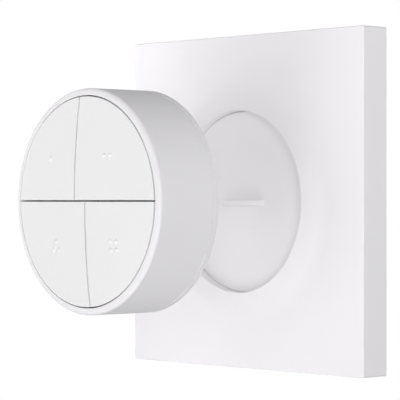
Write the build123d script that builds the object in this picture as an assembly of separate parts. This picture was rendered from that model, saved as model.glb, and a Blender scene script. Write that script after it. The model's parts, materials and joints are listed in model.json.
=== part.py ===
"""A round four-key scene switch and the square wall plate that it docks on.

Everything is drawn lying on its back: x to the right, y up the wall and z out of the wall.
At the end each piece is turned upright, so that the room side is -Y and the wall is the plane y = 0.
The remote is drawn lifted off its plate, and slides back along z onto the plate's dish.
"""

import os
from math import cos, radians, sin, sqrt

from build123d import *

# Wall plate, in millimetres
plate_side = 86.0
plate_depth = 8.2
plate_corner = 1.0
plate_edge = 0.5
plate_wall = 1.6
plate_face = 1.8
collar_radius = 30.2
collar_rise = 2.2
rim_lip = 0.35
rim_edge = 0.2

# Round dish in the plate, its floor disc and the rib that keys the remote
dish_radius = 23.45
dish_depth = 2.5
floor_gap = 0.15
flange_width = 4.95
flange_thickness = 1.2
rib_length = 16.4
rib_thickness = 1.8
rib_height = 2.4
rib_edge = 0.3
keeper_inset = 3.45
keeper_thickness = 1.0
dock_screw_count = 4
dock_screw_offset = 2.75
dock_screw_bite = 2.0

# Bracket on the wall
bracket_thickness = 1.8
wall_screw_spacing = 60.3
wall_slot_width = 4.2
wall_slot_length = 8.0
latch_width = 14.0
latch_thickness = 1.2
latch_rise = 2.6
catch_depth = 0.6
catch_height = 0.8
pad_length = 48.0
pad_height = 11.0
pad_thickness = 0.8
pad_offset = 31.0

# Remote: place, outer body and front ring
lift = 33.4
dock_play = 0.3
remote_radius = 27.5
ring_width = 1.7
ring_round = 1.0
body_length = 17.15
cover_thickness = 1.9
cover_round = 1.0
seam_groove = 0.25
boss_height = 2.2
boss_gap = 0.4
boss_edge = 0.4
slot_side_gap = 0.5
slot_face_gap = 0.4
slot_end_gap = 0.7
spigot_wall = 1.2
spigot_length = 2.2
tongue_width = 8.0
tongue_angles = (60, 120)

# Keys
key_gap = 0.3
key_sink = 0.1
dome_rise = 1.75
key_edge = 0.35
middle_gap = 0.5
split_gap = 0.22
split_offset = 2.0
key_shell = 1.6
skirt_wall = 1.2
skirt_depth = 3.0
key_travel = 0.5
stop_gap = 0.3
dot_radius = 0.5
dot_rise = 0.3
dot_pitch = 2.0
outer_dots_x = 12.0
inner_dots_x = 9.65
dots_y = 10.6

# Key posts and hooks
press_x = 11.5
press_y = 11.0
post_radius = 2.0
post_gap = 0.5
hook_width = 3.0
hook_thickness = 1.2
hook_nub = 0.5
hook_play = 0.1
hook_reach = 0.9
top_hook_x = 6.5
top_hook_inset = 6.0
side_hook_inset = 5.0
side_hook_y = 4.2

# Key frame, board and switches
frame_thickness = 1.2
ledge_thickness = 1.2
ledge_width = 1.4
board_gap = 3.0
board_thickness = 1.0
board_inset = 1.6
switch_side = 6.0
switch_height = 2.4
plunger_radius = 1.7
plunger_out = 0.9
plunger_in = 0.6
plunger_gap = 0.1
damper_radius = 0.5
damper_angle = 17.0
damper_gap = 0.1

# Screws
screw_radius = 0.9
screw_hole_gap = 0.05
head_radius = 1.8
head_height = 1.2
socket_radius = 0.75
socket_depth = 0.6
chassis_screw_inset = 4.3
chassis_screw_angle = 25.0
boss_radius = 2.0
chassis_boss_rise = 1.3
lug_width = 4.6
column_inset = 5.3
column_width = 5.0
cover_screw_bite = 5.0
cover_screw_sink = 0.4

# Battery and its contacts
cell_radius = 12.25
cell_height = 5.0
cell_cap_radius = 10.8
cell_cap_height = 0.7
holder_gap = 0.2
holder_wall = 1.2
holder_over = 0.8
holder_window = 8.0
contact_gap = 1.2
contact_thickness = 0.2
contact_width = 5.0
contact_half = 6.0
contact_foot = 5.0
contact_toe = 2.0
cell_rest_radius = 9.0
cell_rest_wall = 1.2

# Magnets
magnet_radius = 4.0
magnet_thickness = 2.0
magnet_inset = 6.55
magnet_gap = 0.1
magnet_skin = 0.9

# Radio, light and small parts
radio_width = 15.0
radio_thickness = 0.8
radio_gap = 1.15
radio_inset = 2.0
can_width = 10.6
can_inset = 0.6
can_thickness = 1.6
led_width = 1.6
led_height = 0.9
led_thickness = 0.6
pipe_radius = 1.0
pipe_flange = 0.8
pipe_gap = 0.2
chip_side = 5.0
chip_thickness = 0.9
chip_y = 8.0
small_chip_length = 1.2
small_chip_width = 0.7
small_chip_height = 0.5
small_chip_pitch = 2.4
small_chip_count = 5

# General fit between pieces that do not move on each other
fit = 0.2

# How far a cut runs past the face that it opens
past = 1.0

# Levels and radii closer than this count as the same
same_within = 1e-4

# Levels along z, from the wall outwards
face_z = plate_depth
rim_z = face_z + collar_rise
floor_z = rim_z - dish_depth
flange_z = face_z - plate_face
disc_back_z = flange_z - flange_thickness
rear_z = face_z + lift
boss_z = rear_z - boss_height
seam_z = rear_z + cover_thickness
ring_z = seam_z + body_length
skirt_z = ring_z - skirt_depth
frame_top_z = skirt_z - key_travel - stop_gap
frame_low_z = frame_top_z - frame_thickness
ledge_low_z = frame_low_z - ledge_thickness
board_top_z = frame_low_z - board_gap
board_low_z = board_top_z - board_thickness
switch_top_z = board_top_z + switch_height
plunger_top_z = switch_top_z + plunger_out
cell_top_z = board_low_z - contact_gap
cell_low_z = cell_top_z - cell_height
dome_top_z = ring_z - key_sink + dome_rise

# Radii and places that follow from the sizes above
opening_radius = remote_radius - ring_width
key_radius = opening_radius - key_gap
dome_radius = (key_radius ** 2 + dome_rise ** 2) / (2 * dome_rise)
boss_outer = dish_radius - boss_gap
dock_travel = lift - collar_rise - dock_play
docked_boss_z = boss_z - dock_travel
slot_depth = floor_z + rib_height - docked_boss_z + slot_end_gap
inner_half = plate_side / 2 - plate_wall
hole_radius = screw_radius + screw_hole_gap
holder_inner = cell_radius + holder_gap
frame_radius = opening_radius - fit
board_radius = opening_radius - board_inset
magnet_low_z = boss_z + magnet_skin
magnet_circle = boss_outer - magnet_inset
flange_radius = dish_radius + flange_width
rib_arc = (rib_length ** 2 / 4 + rib_height ** 2) / (2 * rib_height)
keeper_radius = dish_radius - keeper_inset
dock_screw_circle = dish_radius + dock_screw_offset
chassis_screw_circle = opening_radius - chassis_screw_inset
column_circle = opening_radius - column_inset
top_hook_y = key_radius - top_hook_inset
side_hook_x = key_radius - side_hook_inset
holder_outer = holder_inner + holder_wall
radio_low_y = holder_outer + radio_gap
radio_high_y = board_radius - radio_inset
radio_y = (radio_low_y + radio_high_y) / 2
radio_height = radio_high_y - radio_low_y

# Each key as its side (-1 left, 1 right) and its level (1 upper, -1 lower)
keys = {"key_1": (-1, 1), "key_2": (1, 1), "key_3": (-1, -1), "key_4": (1, -1)}
chassis_angles = [
    chassis_screw_angle,
    180 - chassis_screw_angle,
    180 + chassis_screw_angle,
    360 - chassis_screw_angle,
]


# Solids stand on their base, centred on their place
standing = (Align.CENTER, Align.CENTER, Align.MIN)


def disc(radius, low, high, x=0.0, y=0.0):
    """A round solid between two levels."""
    return Pos(x, y, low) * Cylinder(radius, high - low, align=standing)


def block(width, height, low, high, x=0.0, y=0.0):
    """A square-edged solid between two levels."""
    return Pos(x, y, low) * Box(width, height, high - low, align=standing)


def tube(outer, inner, low, high, x=0.0, y=0.0):
    """A ring-shaped solid between two levels."""
    return disc(outer, low, high, x, y) - disc(inner, low - past, high + past, x, y)


def on_circle(radius, angle):
    """The point at an angle in degrees on a circle about the middle."""
    return radius * cos(radians(angle)), radius * sin(radians(angle))


def spoke(width, inner, outer, angle, low, high):
    """A radial bar with a round inner end."""
    bar = block(outer - inner, width, low, high, x=(inner + outer) / 2)
    bar += disc(width / 2, low, high, x=inner)
    return Rot(0, 0, angle) * bar


def edges_at(solid, level, radius=None):
    """The edges that lie at one level, or only the circles of one radius there."""
    found = [e for e in solid.edges() if abs(e.bounding_box().min.Z - level) < same_within]
    found = [e for e in found if abs(e.bounding_box().max.Z - level) < same_within]
    if radius is None:
        return found
    circles = [e for e in found if e.geom_type == GeomType.CIRCLE]
    return [e for e in circles if abs(e.radius - radius) < same_within]


def screw(low, high, x, y, head_low):
    """A socket screw: its head at one end, its shank between two levels."""
    body = disc(head_radius, head_low, head_low + head_height, x, y)
    body += disc(screw_radius, low, high, x, y)
    return body - disc(socket_radius, head_low - past, head_low + socket_depth, x, y)


def make_cover_plate():
    """Square moulded plate with a low conical collar round the open dish."""
    outline = RectangleRounded(plate_side, plate_side, plate_corner)
    plate = extrude(outline, face_z)
    plate = fillet(edges_at(plate, face_z), plate_edge)
    collar = Cone(collar_radius, dish_radius + rim_lip, collar_rise, align=standing)
    plate += Pos(0, 0, face_z) * collar
    plate -= block(2 * inner_half, 2 * inner_half, -past, flange_z)
    plate -= disc(dish_radius, -past, rim_z + past)
    plate = fillet(edges_at(plate, rim_z, dish_radius), rim_edge)
    catch_high = bracket_thickness + latch_rise - fit
    catch_x = inner_half - catch_depth / 2
    catch = block(catch_depth, latch_width, catch_high - catch_height, catch_high, catch_x)
    for turn in range(4):
        plate += Rot(0, 0, 90 * turn) * catch
    for index in range(dock_screw_count):
        x, y = on_circle(dock_screw_circle, dock_screw_angle(index))
        plate -= disc(hole_radius, flange_z - past, flange_z + dock_screw_bite + fit, x, y)
    return plate


def dock_screw_angle(index):
    """The dock screws stand evenly round the disc, clear of the rib's line."""
    return 45 + 360 * index / dock_screw_count


def make_rib():
    """Half-moon rib: what stands out of the dish floor of a flat coin with rounded rims."""
    half = rib_thickness / 2
    coin = disc(rib_arc, -half, half)
    coin = fillet(edges_at(coin, -half) + edges_at(coin, half), rib_edge)
    coin = Pos(0, 0, floor_z + rib_height - rib_arc) * Rot(90, 0, 0) * coin
    return coin & block(2 * rib_arc, rib_thickness, flange_z, floor_z + rib_height)


def make_dock_disc():
    """Floor of the dish, with the rib on its face and a flange behind the plate."""
    plug = disc(dish_radius - floor_gap, flange_z, floor_z)
    body = plug + disc(flange_radius, disc_back_z, flange_z)
    body += make_rib()
    body -= disc(keeper_radius + fit, disc_back_z - past, disc_back_z + keeper_thickness)
    for index in range(dock_screw_count):
        x, y = on_circle(dock_screw_circle, dock_screw_angle(index))
        body -= disc(screw_radius + fit, disc_back_z - past, flange_z + past, x, y)
    return body


def make_keeper_disc():
    """Steel disc behind the floor, which the magnets pull on."""
    return disc(keeper_radius, disc_back_z, disc_back_z + keeper_thickness)


def make_dock_screws():
    """Screws from behind, through the disc's flange into the plate."""
    solids = []
    for index in range(dock_screw_count):
        x, y = on_circle(dock_screw_circle, dock_screw_angle(index))
        tip = flange_z + dock_screw_bite
        solids.append(screw(disc_back_z, tip, x, y, disc_back_z - head_height))
    return Compound(solids)


def make_wall_bracket():
    """Flat frame for the wall, with two slots for screws and four latches for the plate."""
    side = 2 * (inner_half - fit)
    body = block(side, side, 0, bracket_thickness)
    latch_outer = inner_half - catch_depth - fit
    nub_low = bracket_thickness + latch_rise
    nub_high = nub_low + catch_height
    latch = block(latch_thickness, latch_width, 0, nub_high, latch_outer - latch_thickness / 2)
    latch += block(catch_depth, latch_width, nub_low, nub_high, latch_outer + catch_depth / 2)
    for turn in range(4):
        body += Rot(0, 0, 90 * turn) * latch
    slot = extrude(SlotOverall(wall_slot_length, wall_slot_width), bracket_thickness + 2 * past)
    for x in (-wall_screw_spacing / 2, wall_screw_spacing / 2):
        body -= Pos(x, 0, -past) * slot
    for y in (-pad_offset, pad_offset):
        body -= block(pad_length + 2 * fit, pad_height + 2 * fit, -past, pad_thickness, y=y)
    return body


def make_adhesive_pads():
    """Two pads let into the back of the bracket, level with its face."""
    places = (-pad_offset, pad_offset)
    return Compound([block(pad_length, pad_height, 0, pad_thickness, y=y) for y in places])


def make_housing():
    """Round wall with its front ring, inner ledge, four lugs and the column for the cover's screw."""
    root = opening_radius + fit
    wall = disc(remote_radius, seam_z, ring_z)
    wall = fillet(edges_at(wall, ring_z), ring_round)
    wall -= disc(opening_radius, seam_z - past, ring_z + past)
    catch_low = seam_z + spigot_length / 2
    wall -= tube(opening_radius + 2 * fit, opening_radius - past, catch_low, seam_z + spigot_length + fit)
    wall += tube(root, opening_radius - ledge_width, ledge_low_z, frame_low_z)
    for angle in chassis_angles:
        wall += spoke(lug_width, chassis_screw_circle, root, angle, board_top_z, frame_low_z)
        x, y = on_circle(chassis_screw_circle, angle)
        wall -= disc(screw_radius + fit, board_top_z - past, frame_low_z + past, x, y)
    wall += spoke(column_width, column_circle, root, -90, seam_z, frame_low_z)
    wall -= disc(hole_radius, seam_z - past, seam_z + cover_screw_bite + fit, 0, -column_circle)
    return wall


def make_rear_cover():
    """Rear cover: a rounded disc, the boss that enters the dish, and the slot for the rib."""
    body = disc(remote_radius, rear_z, seam_z)
    body = fillet(edges_at(body, rear_z), cover_round)
    body -= tube(remote_radius + past, remote_radius - seam_groove, seam_z - seam_groove, seam_z + past)
    boss = disc(boss_outer, boss_z, rear_z)
    body += chamfer(edges_at(boss, boss_z), boss_edge)
    slot_width = rib_length + 2 * slot_side_gap
    slot_height = rib_thickness + 2 * slot_face_gap
    body -= block(slot_width, slot_height, boss_z - past, boss_z + slot_depth)
    spigot_outer = opening_radius - fit
    spigot_z = seam_z + spigot_length
    spigot = tube(spigot_outer, spigot_outer - spigot_wall, seam_z, spigot_z)
    tongue_low = seam_z + spigot_length / 2 + fit
    tongue = tube(opening_radius + fit, spigot_outer - spigot_wall, tongue_low, spigot_z)
    for angle in tongue_angles:
        window = block(4 * spigot_wall, tongue_width, tongue_low - past, spigot_z + past, opening_radius)
        spigot += tongue & (Rot(0, 0, angle) * window)
    spigot -= block(column_width + 2 * fit, 4 * spigot_wall, seam_z, spigot_z + past, 0, -spigot_outer)
    body += spigot
    body += tube(cell_rest_radius, cell_rest_radius - cell_rest_wall, seam_z, cell_low_z)
    for x, y in magnet_places():
        body -= disc(magnet_radius + magnet_gap, magnet_low_z, seam_z + past, x, y)
    head_low = boss_z + cover_screw_sink
    body -= disc(head_radius + fit, boss_z - past, head_low + head_height, 0, -column_circle)
    body -= disc(screw_radius + fit, boss_z - past, seam_z + past, 0, -column_circle)
    return body


def make_cover_screw():
    """Captive screw that keeps the battery cover shut."""
    head_low = boss_z + cover_screw_sink
    return screw(head_low + head_height, seam_z + cover_screw_bite, 0, -column_circle, head_low)


def magnet_places():
    """The magnets stand on the diagonals, clear of the slot."""
    return [on_circle(magnet_circle, 45 + 90 * turn) for turn in range(4)]


def make_magnets():
    """Disc magnets in the pockets of the rear cover."""
    top = magnet_low_z + magnet_thickness
    return Compound([disc(magnet_radius, magnet_low_z, top, x, y) for x, y in magnet_places()])


def key_outline(side, level, inset=0.0):
    """A key seen from the front: a quarter of the circle, cut along the two gaps."""
    split = -level * split_offset + side * (split_gap / 2 + inset)
    middle = level * (middle_gap / 2 + inset)
    reach = key_radius
    x_mid = (split + side * reach) / 2
    y_mid = (middle + level * reach) / 2
    window = Pos(x_mid, y_mid) * Rectangle(abs(side * reach - split), abs(level * reach - middle))
    return Circle(key_radius - inset) & window


def dome(shell=0.0):
    """The ball whose cap is the keys' common dome, or its inner face when a shell is given.

    Its poles lie level, away from the corners where the keys meet.
    """
    ball = Rot(90, 0, 0) * Sphere(dome_radius - shell)
    return Pos(0, 0, dome_top_z - dome_radius) * ball


def dome_level(x, y):
    """Height of the domed face above a point."""
    return dome_top_z - dome_radius + sqrt(dome_radius ** 2 - x * x - y * y)


def dot_places(name):
    """Middles of the raised dots that number the keys."""
    side, level = keys[name]
    x_mid = side * (inner_dots_x if side == level else outer_dots_x)
    y_mid = level * dots_y
    half = dot_pitch / 2
    patterns = {
        "key_1": [(0, 0)],
        "key_2": [(-half, 0), (half, 0)],
        "key_3": [(0, half), (-half, -half), (half, -half)],
        "key_4": [(-half, half), (half, half), (-half, -half), (half, -half)],
    }
    return [(x_mid + dx, y_mid + dy) for dx, dy in patterns[name]]


def make_key(name):
    """One key: domed shell with a skirt, raised dots, a post over its switch and two hooks."""
    side, level = keys[name]
    body = Pos(0, 0, skirt_z) * extrude(key_outline(side, level), dome_top_z - skirt_z + past)
    body = body & dome()
    face = body.faces().filter_by(GeomType.SPHERE)
    body = fillet(face.edges(), key_edge)
    hollow = Pos(0, 0, skirt_z - past) * extrude(key_outline(side, level, skirt_wall), dome_top_z)
    body -= hollow & dome(key_shell)
    inner_top = dome_top_z - key_shell / 2
    limit = dome(key_shell / 2)
    post = disc(post_radius, plunger_top_z, inner_top, side * press_x, level * press_y)
    body += post & limit
    nub_high = frame_low_z - hook_play
    leg_low = nub_high - hook_reach
    nub_step = (hook_thickness + hook_nub) / 2
    x, y = side * top_hook_x, level * top_hook_y
    body += block(hook_width, hook_thickness, leg_low, inner_top, x, y) & limit
    body += block(hook_width, hook_nub, leg_low, nub_high, x, y + level * nub_step)
    x, y = side * side_hook_x, level * side_hook_y
    body += block(hook_thickness, hook_width, leg_low, inner_top, x, y) & limit
    body += block(hook_nub, hook_width, leg_low, nub_high, x + side * nub_step, y)
    ball_radius = (dot_radius ** 2 + dot_rise ** 2) / (2 * dot_rise)
    for x, y in dot_places(name):
        dot = Pos(x, y, dome_level(x, y) + dot_rise - ball_radius) * Sphere(ball_radius)
        body += dot - disc(ball_radius + past, frame_low_z, dome_level(x, y) - dot_rise, x, y)
    return body


def make_plunger(name):
    """The switch's plunger, which the key's post rests on."""
    side, level = keys[name]
    low = switch_top_z - plunger_in
    return disc(plunger_radius, low, plunger_top_z, side * press_x, level * press_y)


def make_switch_bodies():
    """Four switch bodies on the board, each open round its plunger."""
    solids = []
    for side, level in keys.values():
        x, y = side * press_x, level * press_y
        body = block(switch_side, switch_side, board_top_z, switch_top_z, x, y)
        well = plunger_in + key_travel + fit
        body -= disc(plunger_radius + plunger_gap, switch_top_z - well, switch_top_z + past, x, y)
        solids.append(body)
    return Compound(solids)


def make_key_frame():
    """Frame under the keys, with windows for their posts and hooks and bosses for the screws."""
    body = disc(frame_radius, frame_low_z, frame_top_z)
    for angle in chassis_angles:
        x, y = on_circle(chassis_screw_circle, angle)
        body += disc(boss_radius, frame_low_z, frame_top_z + chassis_boss_rise, x, y)
        body -= disc(hole_radius, frame_low_z - past, chassis_screw_tip() + fit, x, y)
    low, high = frame_low_z - past, frame_top_z + past
    reach = hook_thickness + hook_nub + 2 * fit
    span = hook_width + 2 * fit
    for side, level in keys.values():
        body -= disc(post_radius + post_gap, low, high, side * press_x, level * press_y)
        body -= block(span, reach, low, high, side * top_hook_x, level * (top_hook_y - hook_nub / 2))
        body -= block(reach, span, low, high, side * (side_hook_x - hook_nub / 2), level * side_hook_y)
    return body - disc(pipe_radius + screw_hole_gap, low, high)


def chassis_screw_tip():
    """Level that the chassis screws reach inside the frame's bosses."""
    return frame_top_z + chassis_boss_rise / 2


def make_key_dampers():
    """Soft pads on the frame, two under each key's skirt."""
    solids = []
    circle = key_radius - skirt_wall / 2
    for quarter in range(4):
        for offset in (-damper_angle, damper_angle):
            x, y = on_circle(circle, 45 + 90 * quarter + offset)
            solids.append(disc(damper_radius, frame_top_z, frame_top_z + stop_gap - damper_gap, x, y))
    return Compound(solids)


def make_circuit_board():
    """Round board, notched for the cover screw's column."""
    low, high = board_low_z - past, board_top_z + past
    body = disc(board_radius, board_low_z, board_top_z)
    for angle in chassis_angles:
        x, y = on_circle(chassis_screw_circle, angle)
        body -= disc(screw_radius + fit, low, high, x, y)
    return body - spoke(column_width + 2 * fit, column_circle, remote_radius, -90, low, high)


def make_chassis_screws():
    """Screws from behind the board into the key frame."""
    solids = []
    for angle in chassis_angles:
        x, y = on_circle(chassis_screw_circle, angle)
        solids.append(screw(board_low_z, chassis_screw_tip(), x, y, board_low_z - head_height))
    return Compound(solids)


def make_radio_board():
    """Radio module behind the board."""
    return block(radio_width, radio_height, board_low_z - radio_thickness, board_low_z, y=radio_y)


def make_shield_can():
    """Metal can over the radio's chips."""
    high = board_low_z - radio_thickness
    return block(can_width, radio_height - 2 * can_inset, high - can_thickness, high, y=radio_y)


def make_board_chips():
    """Processor and small parts on the front of the board."""
    solids = [block(chip_side, chip_side, board_top_z, board_top_z + chip_thickness, y=chip_y)]
    high = board_top_z + small_chip_height
    for step in range(small_chip_count):
        x = (step - (small_chip_count - 1) / 2) * small_chip_pitch
        solids.append(block(small_chip_length, small_chip_width, board_top_z, high, x, -chip_y))
    return Compound(solids)


def make_status_led():
    """Light in the middle of the board."""
    return block(led_width, led_height, board_top_z, board_top_z + led_thickness)


def make_light_pipe():
    """Clear post from the light to just under the keys' middle gap."""
    low = board_top_z + led_thickness + pipe_gap
    pipe = disc(pipe_radius, low, frame_top_z + stop_gap / 2)
    return pipe + disc(pipe_radius + pipe_flange, frame_low_z - pipe_flange, frame_low_z)


def make_coin_cell():
    """Round cell: the can, and the smaller cap on its board side."""
    can = disc(cell_radius, cell_low_z, cell_top_z - cell_cap_height)
    return can + disc(cell_cap_radius, cell_low_z, cell_top_z)


def make_battery_holder():
    """Ring round the cell, open at both sides for the contact and for a fingertip."""
    low = cell_low_z - holder_over
    ring = tube(holder_outer, holder_inner, low, board_low_z)
    ring -= block(4 * holder_wall, holder_window, low - past, board_low_z + past, -holder_inner)
    return ring - block(4 * holder_wall, holder_window, low - past, cell_top_z, holder_inner)


def make_contact_negative():
    """Leaf spring between the board and the cell's cap."""
    top = board_low_z
    low = cell_top_z + contact_thickness
    heel = -contact_half
    toe = contact_half
    bend = heel + contact_foot
    points = [(heel, top), (bend, top), (toe - contact_toe, low), (toe, low + contact_thickness)]
    under = [(x, z - contact_thickness) for x, z in reversed(points)]
    outline = make_face(Plane.XZ * Polyline(*points, *under, close=True))
    return extrude(outline, contact_width / 2, both=True)


def make_contact_positive():
    """Bent leaf that presses on the side of the cell."""
    foot_x = -holder_outer - contact_foot
    leaf_x = -holder_inner
    top = board_low_z
    mid = cell_low_z + cell_height / 2
    points = [(leaf_x, top), (-cell_radius, mid), (leaf_x - contact_thickness, cell_low_z)]
    behind = [(x - contact_thickness, z) for x, z in reversed(points)]
    outline = make_face(Plane.XZ * Polyline(*points, *behind, close=True))
    leaf = extrude(outline, contact_width / 2, both=True)
    foot = block(leaf_x - foot_x, contact_width, top - contact_thickness, top, (leaf_x + foot_x) / 2)
    return leaf + foot


pieces = {
    "cover_plate": make_cover_plate(),
    "dock_disc": make_dock_disc(),
    "keeper_disc": make_keeper_disc(),
    "dock_screws": make_dock_screws(),
    "wall_bracket": make_wall_bracket(),
    "adhesive_pads": make_adhesive_pads(),
    "housing": make_housing(),
    "rear_cover": make_rear_cover(),
    "cover_screw": make_cover_screw(),
    "magnets": make_magnets(),
    "key_frame": make_key_frame(),
    "key_dampers": make_key_dampers(),
    "circuit_board": make_circuit_board(),
    "chassis_screws": make_chassis_screws(),
    "switch_bodies": make_switch_bodies(),
    "board_chips": make_board_chips(),
    "radio_board": make_radio_board(),
    "shield_can": make_shield_can(),
    "status_led": make_status_led(),
    "light_pipe": make_light_pipe(),
    "battery_holder": make_battery_holder(),
    "coin_cell": make_coin_cell(),
    "contact_negative": make_contact_negative(),
    "contact_positive": make_contact_positive(),
}
for number, key in enumerate(keys, start=1):
    pieces[key] = make_key(key)
    pieces["plunger_%d" % number] = make_plunger(key)

os.makedirs("parts", exist_ok=True)
upright = Rot(90, 0, 0)
for node, shape in pieces.items():
    export_step(upright * shape, "parts/%s.step" % node)
print("dock travel %.2f mm, key travel %.2f mm" % (dock_travel, key_travel))
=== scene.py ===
# %% [markdown]
# A round scene switch and the square wall plate that it docks on, dressed for their photograph.
# The solid model already says where each piece is and how large. Here the pieces that show get
# their finished form, and every piece gets its own finish.

import json
from math import asin, atan2, cos, degrees, hypot, pi, radians, sin, sqrt

import bmesh
import bpy
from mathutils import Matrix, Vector

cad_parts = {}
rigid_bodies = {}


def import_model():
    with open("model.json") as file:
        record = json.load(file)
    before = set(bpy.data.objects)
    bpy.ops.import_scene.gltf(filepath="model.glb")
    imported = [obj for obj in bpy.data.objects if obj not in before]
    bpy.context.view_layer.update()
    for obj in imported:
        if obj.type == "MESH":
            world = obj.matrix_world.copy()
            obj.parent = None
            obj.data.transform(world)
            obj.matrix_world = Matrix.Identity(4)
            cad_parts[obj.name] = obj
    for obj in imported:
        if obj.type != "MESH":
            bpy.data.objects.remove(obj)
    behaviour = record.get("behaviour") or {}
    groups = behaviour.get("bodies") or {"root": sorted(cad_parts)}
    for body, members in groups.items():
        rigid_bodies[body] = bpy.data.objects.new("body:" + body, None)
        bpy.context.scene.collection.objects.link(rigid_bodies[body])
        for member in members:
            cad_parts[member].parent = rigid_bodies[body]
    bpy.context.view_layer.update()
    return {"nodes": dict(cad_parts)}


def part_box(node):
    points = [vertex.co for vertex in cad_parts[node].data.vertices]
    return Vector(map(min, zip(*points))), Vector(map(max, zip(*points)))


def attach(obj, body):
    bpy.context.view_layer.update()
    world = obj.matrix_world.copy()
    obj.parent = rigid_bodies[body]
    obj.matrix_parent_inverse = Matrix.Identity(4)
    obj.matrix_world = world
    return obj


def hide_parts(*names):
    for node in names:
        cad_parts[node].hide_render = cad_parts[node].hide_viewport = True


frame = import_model()
print("pieces in the frame:", len(frame["nodes"]))

# %% [markdown]
# Blender works in metres and this object is measured in millimetres, so a name for one
# millimetre keeps the sizes readable. The wall is the plane y = 0 and the room is at -y, so
# "out" below always means how far something stands out of the wall.

# %% Measures read from the frame
mm = 0.001
plate_low, plate_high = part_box("cover_plate")
dock_low, dock_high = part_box("dock_disc")
wall_low, wall_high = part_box("housing")
back_low, back_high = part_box("rear_cover")

plate_side = plate_high.x - plate_low.x
rim_out = -plate_low.y
rib_out = -dock_low.y
dock_back_out = -dock_high.y
flange_radius = dock_high.x
remote_radius = wall_high.x
ring_out = -wall_low.y
seam_out = -wall_high.y
boss_out = -back_high.y
spigot_out = -back_low.y
print("plate %.1f mm, remote %.1f mm across" % (plate_side / mm, 2 * remote_radius / mm))

# %% [markdown]
# Moulded parts are round to the eye, so a turned piece takes 256 steps: at this size no facet
# shows, even close up. Small holes and posts take fewer, and corners take a few steps each.
# Two points closer than the last value here count as one.

# %% Fineness
round_steps = 256
hole_steps = 64
post_steps = 32
corner_steps = 5
touching = 0.002 * mm
print("one turn in %d steps, one corner in %d" % (round_steps, corner_steps))


# %% [markdown]
# In edit mode a new primitive joins the mesh that is open, at its place in the world. So every
# piece starts as an empty mesh at the origin, and what is added to it lies where it belongs.

# %% Start a piece
def leave_edit_mode():
    """Back to object mode with nothing selected."""
    if bpy.context.object and bpy.context.object.mode != "OBJECT":
        bpy.ops.object.mode_set(mode="OBJECT")
    bpy.ops.object.select_all(action="DESELECT")


def new_piece(name):
    """An empty mesh at the origin, open in edit mode."""
    leave_edit_mode()
    bpy.ops.object.add(type="MESH", location=(0, 0, 0))
    piece = bpy.context.object
    piece.name = name
    piece.data.name = name
    bpy.ops.object.mode_set(mode="EDIT")
    return piece


# %% [markdown]
# An operator acts on all that is selected. By hand the faces and edges would be clicked, and
# here they are found by their place instead, with a small test for each step.

# %% Select by a test
def pick(kind, test):
    """Select only the vertices, edges or faces that pass a test, and say how many."""
    bpy.ops.mesh.select_mode(type=kind)
    bpy.ops.mesh.select_all(action="DESELECT")
    mesh = bpy.context.object.data
    shape = bmesh.from_edit_mesh(mesh)
    parts = {"VERT": shape.verts, "EDGE": shape.edges, "FACE": shape.faces}[kind]
    found = [part for part in parts if test(part)]
    for part in found:
        part.select_set(True)
    bmesh.update_edit_mesh(mesh)
    return len(found)


def level(part, out):
    """Whether an edge or a face lies at one distance out of the wall."""
    return all(abs(v.co.y + out) < touching for v in part.verts)


# %% [markdown]
# A moulding's edges are small roundings between large plain faces. Smooth shading alone would
# bend the large faces, so only the edges under 25 degrees are smoothed, and the large faces set
# the shading of the roundings next to them.

# %% Finish a piece
sharp_angle = radians(25)
large_face_weight = 100


def make_active(piece):
    """Select one piece alone in object mode."""
    leave_edit_mode()
    piece.select_set(True)
    bpy.context.view_layer.objects.active = piece


def close_shell(piece):
    """Merge what touches and turn the faces outwards."""
    bpy.ops.mesh.select_all(action="SELECT")
    bpy.ops.mesh.remove_doubles(threshold=touching)
    bpy.ops.mesh.normals_make_consistent(inside=False)
    make_active(piece)


def finish_piece(piece):
    """Close the shell, smooth all but the true edges and let the large faces lead."""
    close_shell(piece)
    bpy.ops.object.shade_smooth_by_angle(angle=sharp_angle)
    bpy.ops.object.modifier_add(type="WEIGHTED_NORMAL")
    weighted = piece.modifiers[-1]
    weighted.weight = large_face_weight
    weighted.keep_sharp = True
    bpy.ops.object.modifier_apply(modifier=weighted.name)
    print(piece.name, len(piece.data.polygons), "faces")


# %% [markdown]
# Round parts are turned, as on a lathe: one vertex is pushed from point to point to draw half
# of the section, its corners are rounded while it is still a line, and the line is spun.

# %% Turn a section on the axis
def draw_line(points):
    """Push one vertex from point to point."""
    bpy.ops.mesh.select_mode(type="VERT")
    bpy.ops.mesh.primitive_plane_add(size=mm, location=points[0])
    bpy.ops.mesh.merge(type="CENTER")
    for here, there in zip(points, points[1:]):
        bpy.ops.mesh.extrude_region_move(TRANSFORM_OT_translate={"value": there - here})


def turn(section):
    """Spin a section, given as (radius, out, rounding) points, round the middle of the dish."""
    points = [Vector((radius, -out, 0)) for radius, out, _ in section]
    draw_line(points)
    bpy.ops.mesh.select_all(action="SELECT")
    bpy.ops.mesh.remove_doubles(threshold=touching)
    for point, (_, _, rounding) in zip(points, section):
        if rounding:
            pick("VERT", lambda v: (v.co - point).length < touching)
            bpy.ops.mesh.bevel(offset=rounding, segments=corner_steps, affect="VERTICES")
    bpy.ops.mesh.select_all(action="SELECT")
    bpy.ops.mesh.spin(steps=round_steps, angle=2 * pi, center=(0, 0, 0), axis=(0, 1, 0))
    bpy.ops.mesh.select_all(action="SELECT")
    bpy.ops.mesh.remove_doubles(threshold=touching)
    print("turned a section of", len(section), "points")


# %% [markdown]
# The wall plate is a square tray, 86 mm wide, moulded with its front outwards. A low cone rises
# round the dish, and where it meets the flat face the mould is softly rounded. The round part is
# turned first, the square tray grows round it from a cube, and the flat face between the two is
# filled.

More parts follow.
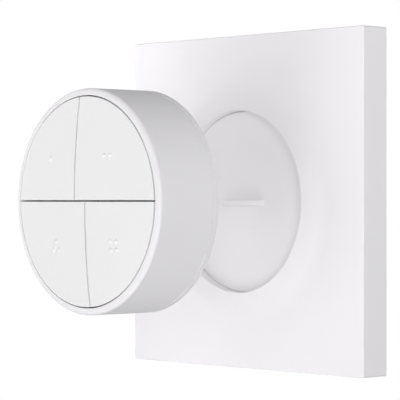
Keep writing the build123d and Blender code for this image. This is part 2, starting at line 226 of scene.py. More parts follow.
# %% Wall plate: the turned cone and dish wall
face_out = 8.2 * mm
cone_foot_radius = 30.2 * mm
cone_foot_rounding = 1.6 * mm
cone_flat_radius = 34.0 * mm
dish_radius = 23.45 * mm
rim_lip = 0.35 * mm
rim_rounding = 0.18 * mm
plate_wall = 1.6 * mm
plate_face = 1.8 * mm
cavity_out = face_out - plate_face

wall_plate = new_piece("wall_plate")
turn([
    (cone_flat_radius, face_out, 0),
    (cone_foot_radius, face_out, cone_foot_rounding),
    (dish_radius + rim_lip, rim_out, rim_rounding),
    (dish_radius, rim_out, rim_rounding),
    (dish_radius, cavity_out, 0),
])

# %% [markdown]
# The tray is a box whose four corners are a little rounder than its front edge. The corners are
# bevelled first, because the front edge then runs round them in one go.

# %% Wall plate: the square tray
plate_corner = 0.5 * mm
plate_edge = 0.25 * mm
half = plate_side / 2


def add_box(middle, size, angle=0):
    """A box at its place, turned about its own line out of the wall."""
    bpy.ops.mesh.primitive_cube_add(size=1, location=middle)
    bpy.ops.transform.resize(value=size, center_override=middle)
    if angle:
        bpy.ops.transform.rotate(value=angle, orient_axis="Y", center_override=middle)


add_box((0, -face_out / 2, 0), (plate_side, face_out, plate_side))


# %% Wall plate: round its corners
def is_upright(edge):
    """An edge that runs straight out of the wall at a corner of the plate."""
    near, far = edge.verts
    at_corner = all(min(abs(v.co.x), abs(v.co.z)) > half - touching for v in edge.verts)
    return at_corner and abs(near.co.y - far.co.y) > mm


print("corner edges:", pick("EDGE", is_upright))
bpy.ops.mesh.bevel(offset=plate_corner, segments=corner_steps, affect="EDGES")


# %% Wall plate: round its front edge
def is_front_edge(edge):
    """An edge round the front of the tray, well outside the turned part."""
    reach = max(abs(c) for v in edge.verts for c in v.co)
    return level(edge, face_out) and reach > half - mm


print("front edges:", pick("EDGE", is_front_edge))
bpy.ops.mesh.bevel(offset=plate_edge, segments=corner_steps, affect="EDGES")

# %% [markdown]
# The tray's flat front still covers the turned part. A narrow border is kept to hold the edge's
# rounding, the rest is taken out, and the flat area between the border and the cone is filled.

# %% Wall plate: open the front and join it to the cone
edge_guard = 0.12 * mm


def is_front_face(part):
    """The large flat face in front, whose middle is the plate's."""
    middle = part.calc_center_median()
    return level(part, face_out) and hypot(middle.x, middle.z) < mm


def fill_between(out):
    """Fill the flat area between the open loops that lie at one distance out of the wall."""
    print("edges round the fill:", pick("EDGE", lambda e: e.is_boundary and level(e, out)))
    bpy.ops.mesh.fill()


pick("FACE", is_front_face)
bpy.ops.mesh.inset(thickness=edge_guard)
bpy.ops.mesh.delete(type="ONLY_FACE")
fill_between(face_out)

# %% [markdown]
# Behind its face the plate is hollow, with a catch on each side that clips over the bracket. A
# second box inside the first makes the hollow: its two ends are taken out and each open area
# between the loops is filled, so the shell stays closed with no cutting.

# %% Wall plate: the hollow back with its four catches
cavity_side = plate_side - 2 * plate_wall
catch_length = 14.0 * mm
catch_depth = 0.6 * mm
catch_height = 0.8 * mm
catch_out = 3.8 * mm

add_box((0, -cavity_out / 2, 0), (cavity_side, cavity_out, cavity_side))
pick("FACE", lambda f: level(f, 0) or (level(f, cavity_out) and len(f.verts) == 4))
bpy.ops.mesh.delete(type="ONLY_FACE")
for out in (0, cavity_out):
    fill_between(out)
reach = cavity_side / 2 - catch_depth / 2
for quarter in range(4):
    angle = quarter * pi / 2
    middle = (reach * cos(angle), -catch_out, reach * sin(angle))
    add_box(middle, (catch_depth, catch_height, catch_length), angle)
finish_piece(wall_plate)
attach(wall_plate, "wall_base")
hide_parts("cover_plate")

# %% [markdown]
# The floor of the dish is a second moulding, pushed in from behind, and a hair of a gap shows
# all round it. It is turned, with a flange that the plate holds and a pocket behind for the
# steel disc that the remote's magnets pull on.

# %% Dish floor: the turned disc
floor_out = rim_out - 2.5 * mm
floor_gap = 0.1 * mm
floor_rounding = 0.12 * mm
keeper_radius = 20.2 * mm
keeper_depth = 1.0 * mm

dish_floor = new_piece("dish_floor")
turn([
    (0, floor_out, 0),
    (dish_radius - floor_gap, floor_out, floor_rounding),
    (dish_radius - floor_gap, cavity_out, 0),
    (flange_radius, cavity_out, floor_rounding),
    (flange_radius, dock_back_out, floor_rounding),
    (keeper_radius, dock_back_out, 0),
    (keeper_radius, dock_back_out + keeper_depth, 0),
    (0, dock_back_out + keeper_depth, 0),
])

# %% [markdown]
# A rib in the floor keys the remote the right way up. It is a half-moon, so a flat coin is stood
# on edge, its rims are rounded, and all but the slice above the floor is cut off. The slice goes
# a little way into the floor, so that no gap shows at its foot.

# %% Dish floor: the half-moon rib
rib_length = 15.8 * mm
rib_thickness = 1.5 * mm
rib_drop = 0.33 * mm
rib_height = rib_out - floor_out
rib_arc = (rib_length ** 2 / 4 + rib_height ** 2) / (2 * rib_height)
rib_middle = rib_arc - rib_out
rib_edge = 0.25 * mm
rib_root = 0.5 * mm

bpy.ops.mesh.primitive_cylinder_add(
    vertices=round_steps, radius=rib_arc, depth=rib_thickness, location=(0, rib_middle, -rib_drop)
)


def on_coin_rim(edge):
    """Whether an edge runs round one of the coin's two faces."""
    near, far = (v.co for v in edge.verts)
    on_face = abs(abs(near.z + rib_drop) - rib_thickness / 2) < touching
    along = on_face and abs(near.z - far.z) < touching
    return along and abs(hypot(near.x, near.y - rib_middle) - rib_arc) < touching


print("rim edges:", pick("EDGE", on_coin_rim))
bpy.ops.mesh.bevel(offset=rib_edge, segments=corner_steps, affect="EDGES")

# %% Dish floor: keep only the slice of the coin
bpy.ops.mesh.select_linked()
bpy.ops.mesh.bisect(
    plane_co=(0, rib_root - floor_out, 0),
    plane_no=(0, 1, 0),
    use_fill=True,
    clear_outer=True,
    threshold=touching,
)
finish_piece(dish_floor)
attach(dish_floor, "wall_base")
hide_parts("dock_disc")

# %% [markdown]
# The remote's wall and its front ring are one turned moulding. The ring falls away towards the
# wall in a shallow curve, so it is bright where it leans to the light. Its inner corner is almost
# sharp, and its outer one rolls softly into the wall.

# %% Remote wall: the turned shell
ring_width = 1.7 * mm
ring_inner_fall = 0.2 * mm
ring_fall = 0.65 * mm
ring_crown = 0.7 * mm
ring_bend = (0.85 * mm, 0.24 * mm)
ring_rounding = 0.5 * mm
ring_inner_rounding = 0.07 * mm
seam_rounding = 0.25 * mm
opening_radius = remote_radius - ring_width
frame_back_out = ring_out - 5.0 * mm
ledge_width = 1.4 * mm
ledge_thickness = 1.2 * mm

remote_wall = new_piece("remote_wall")
turn([
    (opening_radius, seam_out, 0),
    (remote_radius, seam_out, seam_rounding),
    (remote_radius, ring_out - ring_fall, ring_rounding),
    (opening_radius + ring_bend[0], ring_out - ring_bend[1], ring_crown),
    (opening_radius, ring_out - ring_inner_fall, ring_inner_rounding),
    (opening_radius, frame_back_out, 0),
    (opening_radius - ledge_width, frame_back_out, 0),
    (opening_radius - ledge_width, frame_back_out - ledge_thickness, 0),
    (opening_radius, frame_back_out - ledge_thickness, 0),
    (opening_radius, seam_out, 0),
])

# %% [markdown]
# Four lugs inside the wall take the screws of the key frame, and a column takes the screw of the
# rear cover. Each is a post with a web that ties it to the wall, as a mould makes them. They are
# shells of their own that run into the wall, which looks the same as one joined shell.

# %% Remote wall: the lugs for its screws and the column for the cover's screw
lug_angles = (25, 155, 205, 335)
lug_circle = opening_radius - 4.3 * mm
lug_width = 4.6 * mm
lug_back_out = frame_back_out - 3.0 * mm
column_circle = opening_radius - 5.3 * mm
column_width = 5.0 * mm
web_step = 0.4 * mm


def add_round(radius, low_out, high_out, x, z, steps):
    """A round bar between two distances out of the wall."""
    bpy.ops.mesh.primitive_cylinder_add(
        vertices=steps,
        radius=radius,
        depth=high_out - low_out,
        location=(x, -(low_out + high_out) / 2, z),
        rotation=(pi / 2, 0, 0),
    )


def add_lug(circle, width, angle, low_out, high_out):
    """A post near the wall and the web that ties it to the wall."""
    add_round(width / 2, low_out, high_out, circle * cos(angle), circle * sin(angle), post_steps)
    reach = opening_radius + ring_width / 4
    middle = (circle + reach) / 2
    place = (middle * cos(angle), -(low_out + high_out) / 2, middle * sin(angle))
    add_box(place, (reach - circle, high_out - low_out, width - web_step), angle)


for lug_angle in lug_angles:
    add_lug(lug_circle, lug_width, radians(lug_angle), lug_back_out, frame_back_out)
add_lug(column_circle, column_width, radians(-90), seam_out, frame_back_out)
finish_piece(remote_wall)
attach(remote_wall, "remote")
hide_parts("housing")

# %% [markdown]
# The rear cover closes the remote behind a fine parting groove. Its boss fills the dish when
# the remote is docked, and a ring inside it holds the coin cell. All of it is round, so the disc
# is turned whole, and what isn't round is cut from it afterwards.

# %% Rear cover: the turned disc
cover_out = seam_out - 1.9 * mm
cover_rounding = 0.45 * mm
boss_radius = dish_radius - 0.4 * mm
boss_rounding = 0.35 * mm
groove = 0.18 * mm
spigot_radius = opening_radius - 0.2 * mm
spigot_wall = 1.2 * mm
rest_radius = 9.0 * mm
rest_wall = 1.2 * mm
rest_out = -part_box("coin_cell")[1].y

remote_back = new_piece("remote_back")
turn([
    (0, boss_out, 0),
    (boss_radius, boss_out, boss_rounding),
    (boss_radius, cover_out, 0),
    (remote_radius, cover_out, cover_rounding),
    (remote_radius, seam_out - groove, 0),
    (remote_radius - groove, seam_out - groove, 0),
    (remote_radius - groove, seam_out, 0),
    (spigot_radius, seam_out, 0),
    (spigot_radius, spigot_out, 0),
    (spigot_radius - spigot_wall, spigot_out, 0),
    (spigot_radius - spigot_wall, seam_out, 0),
    (rest_radius, seam_out, 0),
    (rest_radius, rest_out, 0),
    (rest_radius - rest_wall, rest_out, 0),
    (rest_radius - rest_wall, seam_out, 0),
    (0, seam_out, 0),
])
close_shell(remote_back)

# %% [markdown]
# The boss carries the slot for the rib, its screw is sunk in a recess, and four pockets behind
# its face hold the magnets. Each is cut out with a tool of its own shape, and each tool runs
# past the face that it opens, because two faces in one plane would confuse the cut.

# %% Rear cover: the cutters
slot_length = 17.4 * mm
slot_height = 2.6 * mm
slot_depth = 2.55 * mm
slot_corner = 0.7 * mm
recess_radius = 2.0 * mm
recess_depth = 1.6 * mm
shank_radius = 1.1 * mm
pocket_radius = 4.1 * mm
pocket_out = boss_out + 0.9 * mm
pocket_circle = boss_radius - 6.55 * mm


cutters = []


def round_cutter(name, radius, low_out, high_out, x, z):
    """A new round cutting tool."""
    cutters.append(new_piece(name))
    add_round(radius, low_out, high_out, x, z, hole_steps)


cutters.append(new_piece("slot_cutter"))
add_box((0, -boss_out, 0), (slot_length, 2 * slot_depth, slot_height))
pick("EDGE", lambda e: abs(e.verts[0].co.y - e.verts[1].co.y) > slot_depth)
bpy.ops.mesh.bevel(offset=slot_corner, segments=corner_steps, affect="EDGES")
recess_end = boss_out + recess_depth
round_cutter("recess_cutter", recess_radius, boss_out - mm, recess_end, 0, -column_circle)
round_cutter("shank_cutter", shank_radius, boss_out + mm, seam_out + mm, 0, -column_circle)
for quarter in range(4):
    angle = pi / 4 + quarter * pi / 2
    x, z = pocket_circle * cos(angle), pocket_circle * sin(angle)
    round_cutter("pocket_cutter", pocket_radius, pocket_out, seam_out + mm, x, z)
print("cutting tools:", len(cutters))


# %% Rear cover: cut it
def cut_away(piece, tool):
    """Cut a tool's shape out of a piece and throw the tool away."""
    make_active(piece)
    bpy.ops.object.modifier_add(type="BOOLEAN")
    boolean = piece.modifiers[-1]
    boolean.operation = "DIFFERENCE"
    boolean.solver = "EXACT"
    boolean.object = tool
    bpy.ops.object.modifier_apply(modifier=boolean.name)
    bpy.data.objects.remove(tool)
    bpy.ops.object.mode_set(mode="EDIT")


for cutter in cutters:
    cut_away(remote_back, cutter)
finish_piece(remote_back)
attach(remote_back, "remote")
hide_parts("rear_cover")

# %% [markdown]
# The four keys share one shallow dome, as if a single cap had been cut in four. So each is a
# quarter of a disc whose face is lifted onto one ball. The upper split stands to the left of the
# middle and the lower one to the right.

# %% Keys: the shared dome
key_radius = opening_radius - 0.3 * mm
key_edge_out = ring_out - 0.05 * mm
dome_rise = 1.67 * mm
dome_radius = (key_radius ** 2 + dome_rise ** 2) / (2 * dome_rise)


def dome_height(x, z):
    """How far the domed face stands above the keys' rim."""
    return sqrt(dome_radius ** 2 - x * x - z * z) - (dome_radius - dome_rise)


print("dome radius %.1f mm" % (dome_radius / mm))


# %% [markdown]
# A key's outline is two straight sides and an arc. The sides are drawn through the inner corner,
# and the arc is the path of a single vertex that is spun. The three corners are rounded last.
# side is -1 for a left key and 1 for a right one, rank is -1 for a lower key and 1 for an upper.

# %% Keys: the outline of one key
key_low_out = ring_out - 3.0 * mm
key_corner = 0.25 * mm
middle_gap = 0.34 * mm
gap_rise = 0.19 * mm
split_gap = 0.33 * mm
split_offset = 2.0 * mm
arc_steps = 64


def draw_key_outline(side, rank, inset, corner):
    """Two straight sides drawn through the inner corner, and an arc spun between them."""
    radius = key_radius - inset
    x_side = -rank * split_offset + side * (split_gap / 2 + inset)
    z_side = gap_rise + rank * (middle_gap / 2 + inset)
    start = Vector((side * sqrt(radius ** 2 - z_side ** 2), -key_low_out, z_side))
    inner = Vector((x_side, -key_low_out, z_side))
    finish = Vector((x_side, -key_low_out, rank * sqrt(radius ** 2 - x_side ** 2)))
    draw_line([finish, inner, start])
    first = atan2(start.z, start.x)
    last = atan2(finish.z, finish.x)
    sweep = (last - first + pi) % (2 * pi) - pi
    bpy.ops.mesh.spin(steps=arc_steps, angle=sweep, center=(0, -key_low_out, 0), axis=(0, 1, 0))
    bpy.ops.mesh.select_all(action="SELECT")
    bpy.ops.mesh.remove_doubles(threshold=touching)
    for point in (start, inner, finish):
        pick("VERT", lambda v: (v.co - point).length < touching)
        bpy.ops.mesh.bevel(offset=corner, segments=corner_steps, affect="VERTICES")
    bpy.ops.mesh.select_linked()


# %% [markdown]
# The outline is filled and pulled out to the keys' edge. The face is then inset in fine steps,
# each a little higher, which rounds the edge, and what is left in the middle is cut into small
# squares that can follow the ball.

# %% Keys: raise the outline into a domed shell
key_rounding = 0.08 * mm
mesh_step = 1.5 * mm


def round_over(radius):
    """Inset the selected face in steps that rise along a quarter circle."""
    for step in range(corner_steps):
        before = radians(90 * step / corner_steps)
        after = radians(90 * (step + 1) / corner_steps)
        inward = radius * (cos(before) - cos(after))
        rise = radius * (sin(after) - sin(before))
        bpy.ops.mesh.inset(thickness=inward, depth=0, use_even_offset=True)
        bpy.ops.transform.translate(value=(0, -rise, 0))


def raise_key(side, rank):
    """Extrude the wall, round the edge in insets, cut the face into squares and dome it."""
    wall_height = key_edge_out - key_rounding - key_low_out
    bpy.ops.mesh.edge_face_add()
    bpy.ops.mesh.extrude_region_move(TRANSFORM_OT_translate={"value": (0, -wall_height, 0)})
    bpy.ops.mesh.select_mode(type="FACE")
    round_over(key_rounding)
    for index in range(1, round(key_radius / mesh_step)):
        for normal in (Vector((1, 0, 0)), Vector((0, 0, 1))):
            pick("FACE", lambda f: level(f, key_edge_out))
            place = Vector((side, 0, rank)) * index * mesh_step
            bpy.ops.mesh.bisect(plane_co=place, plane_no=normal, threshold=touching)
    shape = bmesh.from_edit_mesh(bpy.context.object.data)
    for v in shape.verts:
        if -v.co.y > key_low_out + touching:
            v.co.y -= dome_height(v.co.x, v.co.z)
    bmesh.update_edit_mesh(bpy.context.object.data)


# %% [markdown]
# A moulded key is a thin cap, open underneath. A second, smaller outline is drawn in the opening
# and pulled up to the roof inside, and the flat rim between the two outlines is filled.

# %% Keys: the hollow underside
key_wall = 1.2 * mm
key_shell = 1.6 * mm
key_inner_corner = 0.3 * mm


def hollow_key(side, rank):
    """Open the underside, raise a second outline to the roof inside, and join the two."""
    pick("FACE", lambda f: level(f, key_low_out))
    bpy.ops.mesh.delete(type="ONLY_FACE")
    draw_key_outline(side, rank, key_wall, key_inner_corner)
    depth = key_edge_out - key_shell - key_low_out
    bpy.ops.mesh.extrude_region_move(TRANSFORM_OT_translate={"value": (0, -depth, 0)})
    bpy.ops.mesh.edge_face_add()
    fill_between(key_low_out)


# %% [markdown]
# Raised dots number the keys, so that a finger can tell them apart. Each dot is a small turned
# bump whose foot flares into the face, as a moulded dot does. The table gives the middle of each
# key's dots, and the patterns are in steps of half a pitch.

# %% Keys: where the dots stand
dot_pitch = 2.0 * mm
dot_places = {
    "key_1": (-12.1 * mm, 10.5 * mm),
    "key_2": (9.7 * mm, 10.95 * mm),
    "key_3": (-9.75 * mm, -10.85 * mm),
    "key_4": (11.9 * mm, -10.5 * mm),
}
dot_patterns = {
    "key_1": [(0, 0)],
    "key_2": [(-1, 0), (1, 0)],
    "key_3": [(0, 1), (-1, -1), (1, -1)],
    "key_4": [(-1, 1), (1, 1), (-1, -1), (1, -1)],
}
print("dots on each key:", [len(pattern) for pattern in dot_patterns.values()])

# %% Keys: one raised dot
dot_radius = 0.66 * mm
dot_rise = 0.48 * mm
dot_foot = 0.12 * mm
dot_steps = 32


def add_dot(x, z):
    """Turn one bump at the middle and move it to its place on the dome."""
    ball = (dot_radius ** 2 + dot_rise ** 2) / (2 * dot_rise)
    spread = asin(dot_radius / ball)
    foot = Vector((dot_radius + dot_foot, dot_foot, 0))
    flare = Vector((dot_radius + dot_foot / 3, -dot_foot / 4, 0))
    section = [Vector((0, dot_foot, 0)), foot, flare]
    for step in range(1, corner_steps + 1):
        angle = spread * (1 - step / corner_steps)
        section.append(Vector((ball * sin(angle), ball - dot_rise - ball * cos(angle), 0)))
    draw_line(section)
    bpy.ops.mesh.select_linked()
    bpy.ops.mesh.spin(steps=dot_steps, angle=2 * pi, center=(0, 0, 0), axis=(0, 1, 0))
    bpy.ops.mesh.select_linked()
    bpy.ops.transform.translate(value=(x, -key_edge_out - dome_height(x, z), z))


# %% [markdown]
# Under each key a post stands on its switch and two hooks hold the key in its frame. They are
# hidden when the remote is whole, and are there so that a lifted key still looks right.

# %% Keys: post and hooks
press_x = 11.5 * mm
press_z = 11.0 * mm
post_radius = 2.0 * mm
post_low_out = -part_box("plunger_1")[0].y
hook_width = 3.0 * mm
hook_thickness = 1.2 * mm
hook_low_out = frame_back_out - mm
key_roof_out = key_edge_out - key_shell / 2
top_hook = (6.5 * mm, key_radius - 6.0 * mm)
side_hook = (key_radius - 5.0 * mm, 4.2 * mm)


def add_fittings(side, rank):
    """The post over the switch and the two hooks of one key."""
    place = (side * press_x, rank * press_z)
    add_round(post_radius, post_low_out, key_roof_out, *place, hole_steps)
    middle_out = (hook_low_out + key_roof_out) / 2
    height = key_roof_out - hook_low_out
    x, z = side * top_hook[0], rank * top_hook[1]
    add_box((x, -middle_out, z), (hook_width, height, hook_thickness))
    x, z = side * side_hook[0], rank * side_hook[1]
    add_box((x, -middle_out, z), (hook_thickness, height, hook_width))


# %% [markdown]
# The keys differ only in their side, their rank and their dots, so one loop makes all four. Each
# rides on its own body, which is what lets it be pressed alone.

# %% Keys: make all four
keys = {
    "key_1": (-1, 1, "key_one"),
    "key_2": (1, 1, "key_two"),
    "key_3": (-1, -1, "key_three"),
    "key_4": (1, -1, "key_four"),
}
key_caps = []
for node, (side, rank, body) in keys.items():
    cap = new_piece("cap_" + node)
    draw_key_outline(side, rank, 0, key_corner)
    raise_key(side, rank)
    hollow_key(side, rank)
    middle_x, middle_z = dot_places[node]
    for dx, dz in dot_patterns[node]:
        add_dot(middle_x + dx * dot_pitch / 2, middle_z + dz * dot_pitch / 2)
    add_fittings(side, rank)
    finish_piece(cap)
    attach(cap, body)
    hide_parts(node)
    key_caps.append(cap)


# %% [markdown]
# White moulded plastic is never one flat white. The mould's fine spark-eroded grain breaks up
# the highlights, the gloss varies slowly across a face where the plastic flowed, and the tone
# drifts a little. Three noises on the object's own coordinates give these, at three scales. A
# noise seldom leaves its middle, from 0.3 to 0.7, so that part is spread over the values wanted.

# %% Finish: noise for every material
noise_low = 0.3
noise_high = 0.7


def add_noise(tree, coordinates, scale, detail):
    """A noise on the object's coordinates. The scale is how many features fit in a metre."""
    noise = tree.nodes.new("ShaderNodeTexNoise")
    noise.inputs["Scale"].default_value = scale
    noise.inputs["Detail"].default_value = detail
    tree.links.new(coordinates, noise.inputs["Vector"])
    return noise.outputs["Fac"]


def add_range(tree, value, low, high, socket):
    """Spread a noise between two values and feed it to a socket."""
    spread = tree.nodes.new("ShaderNodeMapRange")
    spread.inputs["From Min"].default_value = noise_low
    spread.inputs["From Max"].default_value = noise_high
    spread.inputs["To Min"].default_value = low
    spread.inputs["To Max"].default_value = high
    tree.links.new(value, spread.inputs["Value"])
    tree.links.new(spread.outputs["Result"], socket)


# %% Finish: moulded plastic
tone_scale = 60
gloss_scale = 240


def moulded(name, pale, dark, roughness, spread, grain_size, grain_depth):
    """Plastic with two close tones, a drifting gloss and a fine grain."""
    material = bpy.data.materials.new(name)
    material.use_nodes = True
    tree = material.node_tree
    shader = tree.nodes["Principled BSDF"]
    coordinates = tree.nodes.new("ShaderNodeTexCoord").outputs["Object"]
    tone = tree.nodes.new("ShaderNodeMix")
    tone.data_type = "RGBA"
    tone.inputs["A"].default_value = (*dark, 1)
    tone.inputs["B"].default_value = (*pale, 1)
    drift = add_noise(tree, coordinates, tone_scale, 3)
    add_range(tree, drift, 0, 1, tone.inputs["Factor"])
    tree.links.new(tone.outputs["Result"], shader.inputs["Base Color"])
    flow = add_noise(tree, coordinates, gloss_scale, 4)
    add_range(tree, flow, roughness - spread, roughness + spread, shader.inputs["Roughness"])
    grain = add_noise(tree, coordinates, 1 / grain_size, 2)
    bump = tree.nodes.new("ShaderNodeBump")
    bump.inputs["Distance"].default_value = grain_depth
    bump.inputs["Strength"].default_value = 1.0
    tree.links.new(grain, bump.inputs["Height"])
    tree.links.new(bump.outputs["Normal"], shader.inputs["Normal"])
    return material


# %% [markdown]
# The four white mouldings are near the same white. Each has its own tone and gloss, because they
# come from different moulds: the plate is the palest, and the keys are the most neutral.

# %% Finish: the white mouldings
plate_white = moulded(
    "plate_white", (0.89, 0.875, 0.895), (0.88, 0.865, 0.885), 0.5, 0.04, 0.25 * mm, 0.004 * mm
)
floor_white = moulded(
    "floor_white", (0.88, 0.865, 0.883), (0.87, 0.855, 0.873), 0.55, 0.04, 0.25 * mm, 0.005 * mm
)
remote_white = moulded(
    "remote_white", (0.843, 0.83, 0.847), (0.833, 0.82, 0.837), 0.6, 0.03, 0.25 * mm, 0.001 * mm
)
key_white = moulded(
    "key_white", (0.84, 0.838, 0.842), (0.83, 0.828, 0.832), 0.58, 0.04, 0.2 * mm, 0.006 * mm
)


def wear(piece, material):
    """Give a piece one material."""
    piece.data.materials.clear()
    piece.data.materials.append(material)


white_pieces = [
    (wall_plate, plate_white),
    (dish_floor, floor_white),
    (remote_wall, remote_white),
    (remote_back, remote_white),
]
white_pieces += [(cap, key_white) for cap in key_caps]
for piece, white in white_pieces:
    wear(piece, white)
print("white pieces:", len(white_pieces))

# %% [markdown]
# Metal is all reflection, so its colour sits in the highlights and its surface decides how
# blurred they are. Rolled sheet has faint lines, plated parts are smoother and cloudier.

# %% Finish: metals
def metal(name, pale, dark, roughness, spread, grain_size, grain_depth, stretch=(1, 1, 1)):
    """Metal with two close tones and a grain that can be stretched along one direction."""
    material = moulded(name, pale, dark, roughness, spread, grain_size, grain_depth)
    tree = material.node_tree
    shader = tree.nodes["Principled BSDF"]
    shader.inputs["Metallic"].default_value = 1.0
    mapping = tree.nodes.new("ShaderNodeMapping")
    mapping.inputs["Scale"].default_value = stretch
    texture = next(n for n in tree.nodes if n.type == "TEX_COORD")
    tree.links.new(texture.outputs["Object"], mapping.inputs["Vector"])
    for noise in [n for n in tree.nodes if n.type == "TEX_NOISE"]:
        tree.links.new(mapping.outputs["Vector"], noise.inputs["Vector"])
    return material


rolled = (0.12, 1, 1)
zinc_sheet = metal(
    "zinc_sheet", (0.62, 0.63, 0.64), (0.5, 0.51, 0.53), 0.38, 0.08, 0.3 * mm, 0.002 * mm, rolled
)
nickel_screw = metal(
    "nickel_screw", (0.66, 0.64, 0.6), (0.55, 0.53, 0.5), 0.28, 0.06, 0.2 * mm, 0.002 * mm
)
nickel_magnet = metal(
    "nickel_magnet", (0.78, 0.77, 0.74), (0.7, 0.69, 0.67), 0.16, 0.04, 0.4 * mm, 0.001 * mm
)
cell_steel = metal(
    "cell_steel", (0.72, 0.72, 0.71), (0.64, 0.64, 0.63), 0.26, 0.06, 0.3 * mm, 0.001 * mm, rolled
)
contact_gold = metal(
    "contact_gold", (0.85, 0.68, 0.36), (0.76, 0.58, 0.3), 0.24, 0.05, 0.2 * mm, 0.001 * mm
)
print("materials so far:", len(bpy.data.materials))

# %% [markdown]
# The pieces inside are plain engineering finishes: grey and black mouldings, rubber, foam tape,
# a green board with its varnish, and clear plastic that only bends the light.

# %% Finish: inner plastics, rubber, board and clear parts
inner_grey = moulded(
    "inner_grey", (0.74, 0.74, 0.75), (0.7, 0.7, 0.71), 0.5, 0.05, 0.3 * mm, 0.006 * mm
)
black_plastic = moulded(
    "black_plastic", (0.035, 0.035, 0.037), (0.02, 0.02, 0.022), 0.45, 0.08, 0.2 * mm, 0.006 * mm
)
foam_tape = moulded(
    "foam_tape", (0.78, 0.77, 0.72), (0.66, 0.65, 0.6), 0.85, 0.06, 0.5 * mm, 0.04 * mm
)
soft_rubber = moulded(
    "soft_rubber", (0.62, 0.62, 0.61), (0.55, 0.55, 0.54), 0.7, 0.05, 0.3 * mm, 0.01 * mm
)
board_green = moulded(
    "board_green", (0.025, 0.24, 0.1), (0.012, 0.16, 0.065), 0.3, 0.05, 0.6 * mm, 0.006 * mm
)
board_green.node_tree.nodes["Principled BSDF"].inputs["Coat Weight"].default_value = 0.5
clear_plastic = moulded(
    "clear_plastic", (0.97, 0.97, 0.97), (0.94, 0.95, 0.95), 0.12, 0.03, 0.5 * mm, 0.002 * mm
)
clear_plastic.node_tree.nodes["Principled BSDF"].inputs["Transmission Weight"].default_value = 0.9

# %% Finish: which piece inside wears what
finishes = {
    "keeper_disc": zinc_sheet,
    "shield_can": zinc_sheet,
    "dock_screws": nickel_screw,
    "cover_screw": nickel_screw,
    "chassis_screws": nickel_screw,
    "magnets": nickel_magnet,
    "coin_cell": cell_steel,
    "contact_negative": contact_gold,
    "contact_positive": contact_gold,
    "wall_bracket": inner_grey,
    "key_frame": inner_grey,
    "adhesive_pads": foam_tape,
    "key_dampers": soft_rubber,
    "circuit_board": board_green,
    "radio_board": board_green,
    "switch_bodies": black_plastic,
    "board_chips": black_plastic,
    "battery_holder": black_plastic,
    "status_led": clear_plastic,
    "light_pipe": clear_plastic,
}
for number in range(1, 5):
    finishes["plunger_%d" % number] = inner_grey
for node, material in finishes.items():
    wear(frame["nodes"][node], material)
print("inner pieces finished:", len(finishes))

# %% [markdown]
# The photograph looks at the plate from its right, level with its middle, through a long lens.
# A perspective fit of the plate's four corners gave the turn, the place and the lens.

# %% Camera
camera_turn = radians(47.908)
camera_place = (398.4 * mm, -382.9 * mm, 0.42 * mm)
sensor = 36.0
lens = 190.32

bpy.ops.object.camera_add(location=camera_place, rotation=(pi / 2, 0, camera_turn))
camera = bpy.context.object
camera.data.sensor_width = sensor
camera.data.lens = lens
camera.data.clip_start = 0.01
camera.data.clip_end = 20
bpy.context.scene.camera = camera
print("camera turned %.1f degrees, lens %.1f mm" % (degrees(camera_turn), lens))

# %% [markdown]
# The photograph has a plain white background. So the world and the floor are pale for the rays
# that the camera sends, also through the clear parts, and light nothing more by it. Glossy parts
# mirror that too, in a band at eye level like a backdrop's, which fades above and below. A ray's
# direction is one unit long, so its height alone tells how steep it is.

# %% Rays that see the background
backdrop_full = 0.2
backdrop_end = 0.45


def calculate(tree, operation, first, second):
    """A math node with two linked inputs."""
    node = tree.nodes.new("ShaderNodeMath")
    node.operation = operation
    tree.links.new(first, node.inputs[0])
    tree.links.new(second, node.inputs[1])
    return node.outputs["Value"]


def seeing_rays(tree, direction):
    """1 for the camera's rays and those through clear parts, and a level band of mirrored ones."""
    path = tree.nodes.new("ShaderNodeLightPath")
    parts = tree.nodes.new("ShaderNodeSeparateXYZ")
    tree.links.new(direction, parts.inputs["Vector"])
    steepness = calculate(tree, "MULTIPLY", parts.outputs["Z"], parts.outputs["Z"])
    band = tree.nodes.new("ShaderNodeMapRange")
    band.inputs["From Min"].default_value = backdrop_full ** 2
    band.inputs["From Max"].default_value = backdrop_end ** 2
    band.inputs["To Min"].default_value = 1
    band.inputs["To Max"].default_value = 0
    tree.links.new(steepness, band.inputs["Value"])
    mirrored = calculate(tree, "MULTIPLY", path.outputs["Is Glossy Ray"], band.outputs["Result"])
    camera_ray = path.outputs["Is Camera Ray"]
    seen = calculate(tree, "MAXIMUM", camera_ray, path.outputs["Is Transmission Ray"])
    return calculate(tree, "MAXIMUM", seen, mirrored)


# %% [markdown]
# A pale floor lies well below the object, out of the photograph's frame, and keeps its shadow.
# The lamps stand too far above it to make it as pale as the backdrop, so it also glows a little
# for the rays that see it. A place on the floor, made one unit long, is its direction from the
# object.

# %% Floor
floor_drop = 800 * mm
floor_reach = 2500 * mm
floor_steps = 96

floor = new_piece("floor")
bpy.ops.mesh.primitive_circle_add(
    vertices=floor_steps, radius=floor_reach, fill_type="NGON", location=(0, 0, -floor_drop)
)
leave_edit_mode()
floor_paint = moulded(
    "floor_paint", (0.82, 0.82, 0.82), (0.79, 0.79, 0.79), 0.8, 0.05, 20 * mm, 0.2 * mm
)
wear(floor, floor_paint)

# %% Floor: the glow where it is seen
floor_glow = 0.65
tree = floor_paint.node_tree
coordinates = tree.nodes.new("ShaderNodeTexCoord")
downward = tree.nodes.new("ShaderNodeVectorMath")
downward.operation = "NORMALIZE"
tree.links.new(coordinates.outputs["Object"], downward.inputs[0])
shader = tree.nodes["Principled BSDF"]
shader.inputs["Emission Color"].default_value = (floor_glow, floor_glow, floor_glow, 1)
seen = seeing_rays(tree, downward.outputs["Vector"])
tree.links.new(seen, shader.inputs["Emission Strength"])

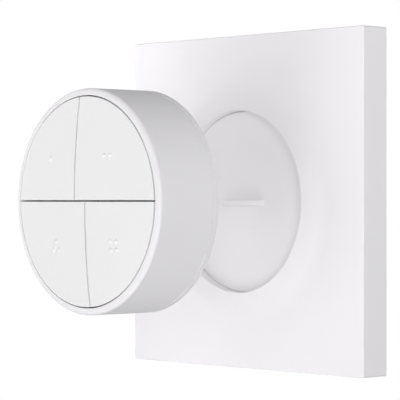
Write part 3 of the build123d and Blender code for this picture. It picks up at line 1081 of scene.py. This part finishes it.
# %% [markdown]
# The world has two backgrounds. A weak one fills the shadows softly, and a white one takes its
# place for the rays that see the background.

# %% World
fill_strength = 0.2
white_strength = 1.0

world = bpy.data.worlds.new("studio")
bpy.context.scene.world = world
world.use_nodes = True
tree = world.node_tree
tree.nodes.clear()
coordinates = tree.nodes.new("ShaderNodeTexCoord")
seen = seeing_rays(tree, coordinates.outputs["Generated"])
blend = tree.nodes.new("ShaderNodeMixShader")
tree.links.new(seen, blend.inputs["Fac"])
for index, strength in enumerate((fill_strength, white_strength), start=1):
    background = tree.nodes.new("ShaderNodeBackground")
    background.inputs["Color"].default_value = (1, 1, 1, 1)
    background.inputs["Strength"].default_value = strength
    tree.links.new(background.outputs["Background"], blend.inputs[index])
world_output = tree.nodes.new("ShaderNodeOutputWorld")
tree.links.new(blend.outputs["Shader"], world_output.inputs["Surface"])
print("world nodes:", len(tree.nodes))

# %% [markdown]
# Soft boxes light the object from all over the room side, most of all from the right and from
# below: the wall of the dish and the top of the remote are dark in the photograph, and the rib
# throws its shadow upwards. Four small lamps close to the object lift its upper corners and its
# left side, and one behind it lights its back. Each row gives a lamp's turn from straight in
# front of the wall, positive to the right, its height above level, both in degrees, its distance
# and its size in millimetres, and its power in watts.

# %% Soft boxes
light_middle = Vector((0, -30 * mm, 0))
far = 700
large = 350
small = 80
lamps = {
    "front": (0, 5, far, large, 0.69),
    "front_low": (0, -20, far, large, 0.38),
    "left_low": (-30, -20, far, large, 0.38),
    "below": (0, -45, far, large, 1.07),
    "far_below": (-30, -70, far, large, 0.87),
    "right": (55, 5, far, large, 2.0),
    "side_right": (105, 5, far, large, 0.91),
    "behind": (180, 0, far, large, 1.0),
    "near_right_high": (65, 38, 210, small, 0.03),
    "near_left_high": (-29, 29, 144, small, 0.02),
    "near_top_left": (-73, 44, 145, small, 0.03),
    "near_left": (-81, 0, 192, small, 0.039),
}


def soft_box(name, turn, height, distance, size, power):
    """A square area lamp that looks at the middle of the object."""
    toward, up = radians(turn), radians(height)
    aim = Vector((sin(toward) * cos(up), -cos(toward) * cos(up), sin(up)))
    bpy.ops.object.light_add(type="AREA", location=light_middle + distance * mm * aim)
    lamp = bpy.context.object
    lamp.name = name
    lamp.data.name = name
    lamp.data.size = size * mm
    lamp.data.energy = power
    lamp.rotation_euler = (-aim).to_track_quat("-Z", "Y").to_euler()


for name, values in lamps.items():
    soft_box(name, *values)
print("lamps:", len(lamps))

# %% [markdown]
# Standard shows the colours as they are written.

# %% Colour view
bpy.context.scene.view_settings.view_transform = "Standard"
leave_edit_mode()
